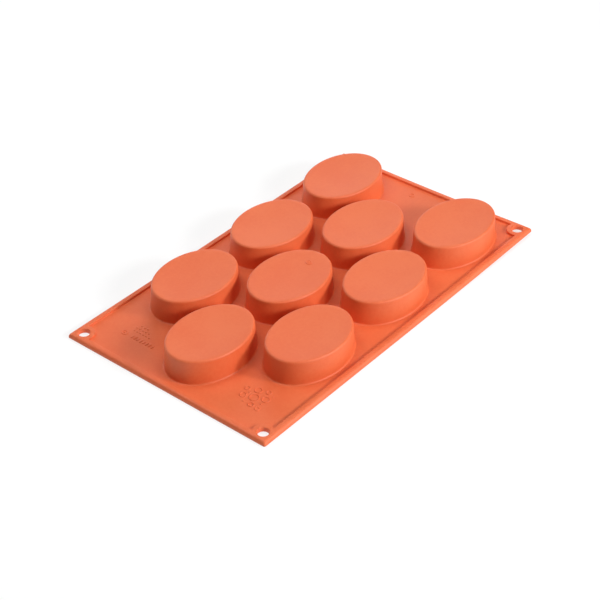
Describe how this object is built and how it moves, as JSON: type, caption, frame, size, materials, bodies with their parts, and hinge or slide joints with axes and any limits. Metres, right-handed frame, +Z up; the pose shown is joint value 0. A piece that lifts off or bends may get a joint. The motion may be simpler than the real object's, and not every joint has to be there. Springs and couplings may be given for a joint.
{
  "type": "silicone soap mould",
  "caption": "Flat silicone mould sheet with staggered oval cups, a raised rim bead and a ringed hole in each corner.",
  "frame": {"origin": "middle of the sheet on the fill face, which lies on the table with the cups standing up from it", "axes": "+X along the sheet's long side and the cups' long axes, +Y across the short side, +Z up through the cup floors"},
  "size_m": [0.3, 0.175, 0.02],
  "materials": {
    "silicone": "matte, satin where the light grazes"
  },
  "bodies": {
    "mould_sheet": {"web_sheet": "silicone", "rim_rail_near": "silicone", "rim_rail_right": "silicone", "rim_rail_far": "silicone", "rim_rail_left": "silicone", "corner_eyelet_near_left": "silicone", "corner_eyelet_near_right": "silicone", "corner_eyelet_far_right": "silicone", "corner_eyelet_far_left": "silicone", "cup_wall_1": "silicone", "cup_wall_2": "silicone", "cup_wall_3": "silicone", "cup_wall_4": "silicone", "cup_wall_5": "silicone", "cup_wall_6": "silicone", "cup_wall_7": "silicone", "cup_wall_8": "silicone", "cup_wall_9": "silicone"},
    "floor_1": {"cup_floor_1": "silicone"},
    "floor_2": {"cup_floor_2": "silicone"},
    "floor_3": {"cup_floor_3": "silicone"},
    "floor_4": {"cup_floor_4": "silicone"},
    "floor_5": {"cup_floor_5": "silicone"},
    "floor_6": {"cup_floor_6": "silicone"},
    "floor_7": {"cup_floor_7": "silicone"},
    "floor_8": {"cup_floor_8": "silicone"},
    "floor_9": {"cup_floor_9": "silicone"}
  },
  "joints": [
    {"name": "press_cup_1", "type": "slide", "parent": "mould_sheet", "child": "floor_1", "axis": [0, 0, -1], "range_m": [0, 0.01], "stiffness_N_per_m": 600, "springref_m": -0.001},
    {"name": "press_cup_2", "type": "slide", "parent": "mould_sheet", "child": "floor_2", "axis": [0, 0, -1], "range_m": [0, 0.01], "stiffness_N_per_m": 600, "springref_m": -0.001},
    {"name": "press_cup_3", "type": "slide", "parent": "mould_sheet", "child": "floor_3", "axis": [0, 0, -1], "range_m": [0, 0.01], "stiffness_N_per_m": 600, "springref_m": -0.001},
    {"name": "press_cup_4", "type": "slide", "parent": "mould_sheet", "child": "floor_4", "axis": [0, 0, -1], "range_m": [0, 0.01], "stiffness_N_per_m": 600, "springref_m": -0.001},
    {"name": "press_cup_5", "type": "slide", "parent": "mould_sheet", "child": "floor_5", "axis": [0, 0, -1], "range_m": [0, 0.01], "stiffness_N_per_m": 600, "springref_m": -0.001},
    {"name": "press_cup_6", "type": "slide", "parent": "mould_sheet", "child": "floor_6", "axis": [0, 0, -1], "range_m": [0, 0.01], "stiffness_N_per_m": 600, "springref_m": -0.001},
    {"name": "press_cup_7", "type": "slide", "parent": "mould_sheet", "child": "floor_7", "axis": [0, 0, -1], "range_m": [0, 0.01], "stiffness_N_per_m": 600, "springref_m": -0.001},
    {"name": "press_cup_8", "type": "slide", "parent": "mould_sheet", "child": "floor_8", "axis": [0, 0, -1], "range_m": [0, 0.01], "stiffness_N_per_m": 600, "springref_m": -0.001},
    {"name": "press_cup_9", "type": "slide", "parent": "mould_sheet", "child": "floor_9", "axis": [0, 0, -1], "range_m": [0, 0.01], "stiffness_N_per_m": 600, "springref_m": -0.001}
  ]
}
